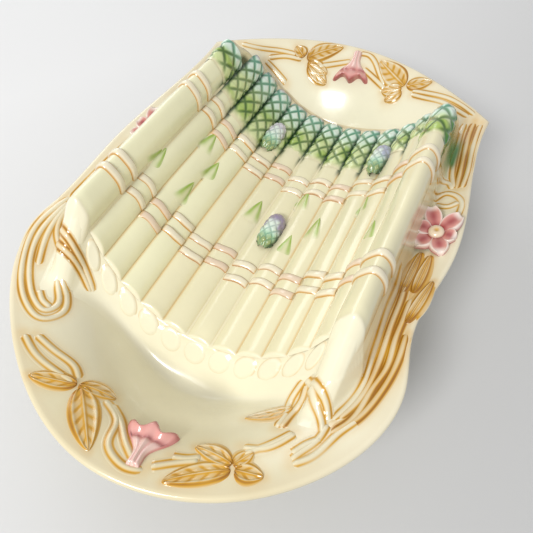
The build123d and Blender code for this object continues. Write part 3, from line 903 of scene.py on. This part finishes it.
def stem_mesh(places, wash=1.0):
    places = np.array(places, float)
    line = smooth_line(places, places[1] - places[0], places[-1] - places[-2], 240)
    length = np.hypot(*np.diff(line, axis=0).T).sum()
    stain_places.extend((x, y, 2.6, 0.8 * wash) for x, y in line[::8])

    def stem_shape(u, v):
        # Reach is the distance from the middle line, as a share of the ridge's half width.
        x, y, dx, dy = along_line(line, v)
        side = 1 - 2 * u
        half = STEM_WIDTH / 2 + STEM_MARGIN
        reach = np.abs(side) * half / (STEM_WIDTH / 2)
        taper = step(0, 0.08, v) * (1 - step(0.92, 1, v))
        tail = 1 - step(0, 0.04, v) * (1 - step(0.96, 1, v))
        lift = STEM_HEIGHT * np.exp(-1.4 * reach**2) * taper + 0.08
        lift = lift - 0.45 * step(2.2, 2.75, reach) - 1.2 * tail
        pool = wash * (1.25 * ridge(reach, 1.25, 0.42) + 0.1) * (0.35 + 0.65 * taper)
        pool = (pool + 0.45 * max(0, wash - 1)) * (0.6 + 0.7 * patchy(x, y))
        pool = pool * (1 - step(2.1, 2.75, reach))
        offset = side * half * (0.35 + 0.65 * taper)
        x = x - offset * dy
        y = y + offset * dx
        paint = amber_wash(ground_glaze(y), pool)
        return on_dish(x, y, lift), mix(paint, BOTTLE_GREEN, green_run(x, y))

    return shaped_grid("stem", 20, max(12, int(length / 1.5)), stem_shape)


def finish_sprig(node, pieces):
    finish_piece(join(f"{node}_glazed", pieces), node, leaf_glaze)


# %% [markdown]
# The near end has two leaf sprays, a folded leaf that climbs the bevel, and the stems between them.
# Each pair of numbers is a place on the platter in millimetres, X and Y.

# %% Near end sprigs
finish_sprig("near_left_leaves", [
    leaf_mesh((-35, -161), (-57, -169), 8),
    leaf_mesh((-34, -160), (-15, -157), 7, 1),
    leaf_mesh((-32, -161), (-5, -186), 12),
])
finish_sprig("near_right_leaves", [
    leaf_mesh((61, -163), (35, -182), 9, -1),
    leaf_mesh((60, -160), (39, -160), 8, -1),
    leaf_mesh((63, -162), (77, -159), 8),
    leaf_mesh((61, -160), (67, -150), 6),
])
finish_sprig("folded_leaf", [
    leaf_mesh((74, -117), (52, -132), 6, 1, 0.8),
    stem_mesh([(74, -101), (71, -110), (72, -123), (71, -133)]),
    stem_mesh([(76, -103), (77, -109), (75, -121), (73, -132)], wash=1.3),
    stem_mesh([(74, -101), (84, -108), (91, -113), (95, -119)]),
    stem_mesh([(78, -105), (84, -113), (91, -120), (95, -128)], wash=0.8),
    stem_mesh([(95, -120), (93, -131), (88, -140), (85, -146)]),
    stem_mesh([(95, -129), (89, -135), (84, -143)]),
])
finish_sprig("near_stem_loop", [
    stem_mesh([(-77, -151), (-65, -157), (-50, -160), (-36, -161)]),
    stem_mesh([(-72, -148), (-55, -151), (-43, -153), (-36, -158)]),
    stem_mesh([(-20, -159), (-4, -168), (0, -178), (8, -183), (17, -184), (25, -181)]),
    stem_mesh([(-15, -160), (-3, -166), (7, -174), (17, -180)]),
])
finish_sprig("near_right_stems", [
    stem_mesh([(25, -179), (33, -173), (45, -165)]),
    stem_mesh([(31, -170), (39, -167), (45, -163)]),
    stem_mesh([(62, -153), (72, -143), (81, -131)], wash=0.9),
    stem_mesh([(60, -150), (70, -146), (77, -139), (82, -131)], wash=0.9),
    stem_mesh([(86, -148), (93, -141), (101, -124), (108, -112)], wash=0.8),
])

# %% [markdown]
# On the right, long stems run along the flange from the folded leaf to narrow leaves below the
# flower. Beyond the flower a ribbon goes on to the pointed corner, with loops at its near end.

# %% Right side sprigs
finish_sprig("right_stems", [
    stem_mesh([
        (95, -120), (101, -106), (104, -90), (103, -77), (102, -62), (101, -46), (101, -30), (99, -14),
    ]),
    stem_mesh([
        (96, -127), (104, -116), (109, -93), (112, -79), (111, -64), (111, -48), (111, -30),
    ], wash=1.6),
    stem_mesh([(98, -126), (107, -113), (113, -96), (115, -86), (116, -71), (115, -55)], wash=1.8),
    stem_mesh([
        (98, -118), (104, -104), (107, -88), (107, -70), (106, -52), (106, -36), (105, -20),
    ], wash=1.5),
])
finish_sprig("right_side_leaves", [
    leaf_mesh((111, -28), (113, 4), 5, 0, 1.4, 0),
    leaf_mesh((113, -50), (119, -17), 5, 0, 1.4, 0),
    leaf_mesh((105, -30), (107, 6), 4, 0, 1.4, 0),
])
finish_sprig("right_ribbon", [
    stem_mesh([(97, 58), (101, 69), (107, 70), (111, 64)]),
    stem_mesh([(100, 50), (108, 60), (117, 56), (120, 49), (120, 40)]),
    stem_mesh([(103, 49), (112, 48), (118, 53)]),
    stem_mesh([(102, 138), (102, 126), (104, 100), (108, 75), (112, 64)], wash=1.3),
    stem_mesh([(108, 139), (108, 125), (110, 96), (112, 76), (113, 63)], wash=1.8),
    stem_mesh([(113, 138), (113, 127), (114, 101), (116, 80), (116, 64)], wash=1.3),
])

# %% [markdown]
# The far end has a leaf spray on each side of its bell flower, with stems that come in from both
# corners.

# %% Far end sprigs
finish_sprig("far_right_leaves", [
    leaf_mesh((46, 162), (19, 179), 17),
    leaf_mesh((48, 162), (66, 169), 9),
    leaf_mesh((45, 159), (30, 156), 9),
    leaf_mesh((46, 157), (35, 150), 8),
])
finish_sprig("far_left_leaves", [
    leaf_mesh((-41, 162), (-16, 182), 12, 2),
    leaf_mesh((-44, 162), (-54, 168), 10),
    leaf_mesh((-39, 160), (-20, 158), 9),
    leaf_mesh((-38, 158), (-18, 152), 9),
])
finish_sprig("far_right_stems", [
    stem_mesh([(108, 143), (97, 150), (83, 156), (69, 158), (52, 159)]),
    stem_mesh([(104, 141), (92, 147), (80, 152), (66, 154), (53, 156)]),
    stem_mesh([(-1, 181), (6, 182), (14, 178), (23, 168), (31, 160)]),
    stem_mesh([(7, 170), (18, 165), (32, 158)]),
])
finish_sprig("far_left_stems", [
    stem_mesh([(-44, 160), (-59, 156), (-72, 148)]),
    stem_mesh([(-99, 148), (-80, 153), (-63, 159), (-48, 162)]),
    stem_mesh([(-73, 145), (-61, 142), (-49, 139)]),
    stem_mesh([(-30, 160), (-18, 166), (-4, 173)]),
])

# %% [markdown]
# On the left the ribbon curls back on itself beside the bevel, and two of its strands climb it. The
# camera can't see the stems further along this flange, so they follow those on the right.

# %% Left side sprigs
finish_sprig("left_ribbon", [
    stem_mesh([
        (-118, -56), (-121, -73), (-121, -90), (-115, -106), (-100, -127), (-88, -136), (-76, -138),
        (-72, -130), (-80, -116), (-86, -109),
    ]),
    stem_mesh([
        (-117, -60), (-118, -74), (-117, -90), (-112, -104), (-105, -115), (-96, -125), (-86, -132),
        (-79, -133), (-77, -128), (-82, -119), (-88, -111),
    ]),
    stem_mesh([(-78, -130), (-84, -129), (-91, -124)]),
    stem_mesh([(-116, -62), (-116, -72), (-114, -86), (-109, -99), (-102, -112)]),
    stem_mesh([
        (-115, -64), (-114, -75), (-109, -86), (-98, -95), (-89, -99), (-79, -101), (-70, -108),
    ], wash=1.3),
    stem_mesh([
        (-113, -62), (-112, -73), (-106, -82), (-95, -90), (-83, -95), (-78, -98), (-69, -107),
    ], wash=1.2),
])
finish_sprig("left_stems", [
    stem_mesh([(-117, -62), (-117, -30), (-116, -5), (-115, 6)]),
    stem_mesh([(-113, -62), (-112, -30), (-112, -5), (-112, 6)]),
    stem_mesh([(-112, 64), (-111, 86), (-110, 108), (-109, 138)]),
    stem_mesh([(-107, 65), (-105, 89), (-104, 111), (-104, 138)]),
])

# %% [markdown]
# ## Open flowers
# An open flower sits near the rim, so its disc leans inwards. Each petal is a cupped sheet of mesh,
# rose at its base and pale at its edge, and a small dished eye lies on the throat in the middle.

# %% Open flowers
def open_flower(node, eye_node, centre, hand):
    facing = np.array([-hand * 0.2, -0.1, 0.975])
    right = np.array([0, 0.995, 0.102])
    up = np.cross(facing, right)
    centre = np.array(centre, float)
    petals = []
    for number in range(6):
        turn = math.radians(60 * number + 25)
        direction = math.cos(turn) * right + math.sin(turn) * up
        sideways = -math.sin(turn) * right + math.cos(turn) * up
        long = 12.5 + 8.5 * abs(math.cos(turn)) + 2 * math.cos(turn)

        def petal_shape(u, v):
            side = 1 - 2 * u
            half = 6.2 * np.sin(np.pi * (0.14 + 0.84 * v**1.1)) ** 0.8
            edge = np.maximum(v, np.abs(side))
            cup = 1.0 + 3.8 * np.sin(np.pi * v * 0.6) - 1.7 * (1 - side**2) * step(0.15, 0.8, v)
            cup = cup - 4.5 * step(0.88, 1, edge) + 0.5 * (number % 2)
            reach = 3.5 + (long - 3.5) * v
            points = centre + np.outer(reach, direction) + np.outer(side * half, sideways)
            points = points + np.outer(cup, facing)
            deep = 0.85 * ridge(side, 0, 0.45) * ridge(v, 0.45, 0.35) + 0.9 * (1 - step(0, 0.3, v))
            colours = mix(PINK, ROSE, deep)
            colours = mix(colours, WHITE, 0.85 * step(0.6, 0.86, edge) * (1 - step(0.93, 1, edge)))
            return points, mix(colours, ROSE, 0.7 * step(0.94, 1, edge))

        petals.append(shaped_grid("petal", 24, 24, petal_shape))

    def throat_shape(u, v):
        turn = -2 * np.pi * u
        points = centre + np.outer(9.5 * v * np.cos(turn), right) + np.outer(8 * v * np.sin(turn), up)
        return points + np.outer(1.6 - 3 * v**4, facing), mix(ROSE, BROWN, 0.2 * v)

    petals.append(shaped_grid("throat", 32, 10, throat_shape, weld=True))
    finish_piece(join(f"{node}_glazed", petals), node, flower_glaze)

    def eye_shape(u, v):
        turn = -2 * np.pi * u
        reach = 5.4 * v
        height = 4.2 * np.sqrt(np.clip(1 - v**2, 0, 1)) - 1.2 * ridge(v, 0.0, 0.3) + 1.0
        points = centre + np.outer(reach * np.cos(turn), right) + np.outer(reach * np.sin(turn), up)
        points = points + np.outer(height, facing)
        colours = mix(mix(WHITE, YELLOW, 0.35), AMBER, 0.9 * ridge(v, 0.0, 0.32))
        return points, mix(colours, ROSE, 0.85 * step(0.86, 1, v))

    eye = shaped_grid(f"{eye_node}_glazed", 32, 14, eye_shape, weld=True)
    finish_piece(eye, eye_node, flower_glaze)


open_flower("right_flower", "right_flower_eye", (111, 21, 67), 1)
open_flower("left_flower", "left_flower_eye", (-109, 24, 64), -1)

# %% [markdown]
# ## Bell flowers
# A bell flower lies on the flange at each end: a ribbed tube that widens to a frilled mouth. Half of
# it would be sunk in the dish, so a strip that arches over its own middle line is enough.

# %% Bell flowers
def bell_flower(node, base, mouth, width):
    base = np.array(base, float)
    mouth = np.array(mouth, float)
    along = mouth - base
    length = np.hypot(*along)
    across = np.array([-along[1], along[0]]) / length

    def bell_shape(u, v):
        side = (1 - 2 * u) * 1.1
        half = 3.6 + (width / 2 - 3.6) * step(0.25, 1.0, v) ** 1.2
        frill = 1.8 * np.cos(side * np.pi * 2.2) * step(0.7, 1, v)
        place = base + np.outer(v, along) + np.outer(side * half, across)
        place = place + np.outer(frill, along / length)
        fold = np.abs(side)
        lift = (4.0 + 1.5 * step(0.6, 0.9, v)) * np.sqrt(1 - np.clip(fold, 0, 1) ** 2)
        lift = lift + 1.5 * ridge(v, 0.9, 0.07) * (fold < 1) - 1.2 * ridge(v, 0.72, 0.07) * (fold < 0.9)
        lift = lift + 0.6 * np.cos(side * np.pi * 3) * (1 - fold).clip(0, 1)
        lift = lift * (1 - step(0.96, 1, v)) * step(0, 0.05, v) - 0.4 * step(1.0, 1.1, fold) - 0.3
        colours = mix(WHITE, PINK, 0.5 + 0.45 * step(0.5, 0.9, v))
        rim = 0.8 * step(0.86, 0.95, v) + 0.75 * step(0.85, 1.02, fold)
        colours = mix(colours, ROSE, np.clip(0.7 * ridge(v, 0.7, 0.06) + rim, 0, 0.9))
        colours = mix(colours, PINK, 0.5 * ridge(np.cos(side * np.pi * 3), -1, 0.5))
        return on_dish(place[:, 0], place[:, 1], lift), colours

    flower = shaped_grid(f"{node}_glazed", 48, 44, bell_shape)
    finish_piece(flower, node, flower_glaze)


bell_flower("near_bell_flower", (18, -183), (15, -163), 29)
bell_flower("far_bell_flower", (-2, 182), (1, 159), 30)

# %% [markdown]
# ## Stain the dish
# The amber glaze has crept from the sprigs on to the dish around them. Each dish vertex takes some
# amber by its distance from the nearest kept place on a sprig, on the inside of the dish only. A
# place is X, Y, the stain's size there, and how strong the wash is. Three rows of places are added
# where the stems lie close together.

# %% Stain
CREEP = 1.6
stain_places.extend((109, y, 3.5, 1.8) for y in range(-104, 0, 4))
stain_places.extend((108.5, y, 3.0, 1.5) for y in range(68, 138, 4))
stain_places.extend((-115, y, 3.0, 1.3) for y in range(-96, -62, 4))
count = len(dish.data.vertices)
dish_points = np.zeros(count * 3)
dish.data.vertices.foreach_get("co", dish_points)
dish_x, dish_y, dish_z = dish_points.reshape(-1, 3).T * 1000
normals = np.zeros(count * 3)
dish.data.vertices.foreach_get("normal", normals)
inside = (normals[2::3] > 0.05) & (dish_z > FLOOR + 2)
amount = np.zeros(count)
for x, y, size, wash in stain_places:
    distance = np.hypot(dish_x - x, dish_y - y)
    amount = np.maximum(amount, 0.4 * wash * ridge(distance, 0, size + CREEP))
amount = np.where(inside, amount, 0)
glaze = dish.data.color_attributes["glaze"]
tint = np.zeros(count * 4)
glaze.data.foreach_get("color", tint)
tint = tint.reshape(-1, 4)
tint[:, :3] = mix(tint[:, :3], AMBER, amount)
glaze.data.foreach_set("color", tint.ravel())
print("stained", int((amount > 0.05).sum()), "dish vertices")

# %% [markdown]
# ## The foot ring
# The foot is the CAD model's own ring, left bare where the glaze was wiped off before firing. Bare
# earthenware is matt and a little uneven. Its real grit is finer than can show, so the grain is drawn
# coarser.

# %% Foot ring
GRIT_SIZE = 3.0
bare_clay = bpy.data.materials.new("bare buff earthenware, wiped foot")
bare_clay.use_nodes = True
clay_tree = bare_clay.node_tree
clay_where = add_node(clay_tree, "ShaderNodeTexCoord")
clay_grain = add_node(
    clay_tree,
    "ShaderNodeTexNoise",
    values={"Scale": 1000 / GRIT_SIZE, "Detail": 5.0},
    links={"Vector": clay_where.outputs["Object"]},
)
clay_tone = add_node(clay_tree, "ShaderNodeValToRGB", links={"Fac": clay_grain.outputs["Fac"]})
clay_tone.color_ramp.elements[0].color = (*linear("#c2ab86"), 1)
clay_tone.color_ramp.elements[1].color = (*linear("#e0d0b2"), 1)
clay_surface = clay_tree.nodes["Principled BSDF"]
clay_tree.links.new(clay_tone.outputs["Color"], clay_surface.inputs["Base Color"])
clay_surface.inputs["Roughness"].default_value = 0.75
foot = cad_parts["foot_ring"]
foot.data.materials.clear()
foot.data.materials.append(bare_clay)
print("foot ring", len(foot.data.polygons), "faces")
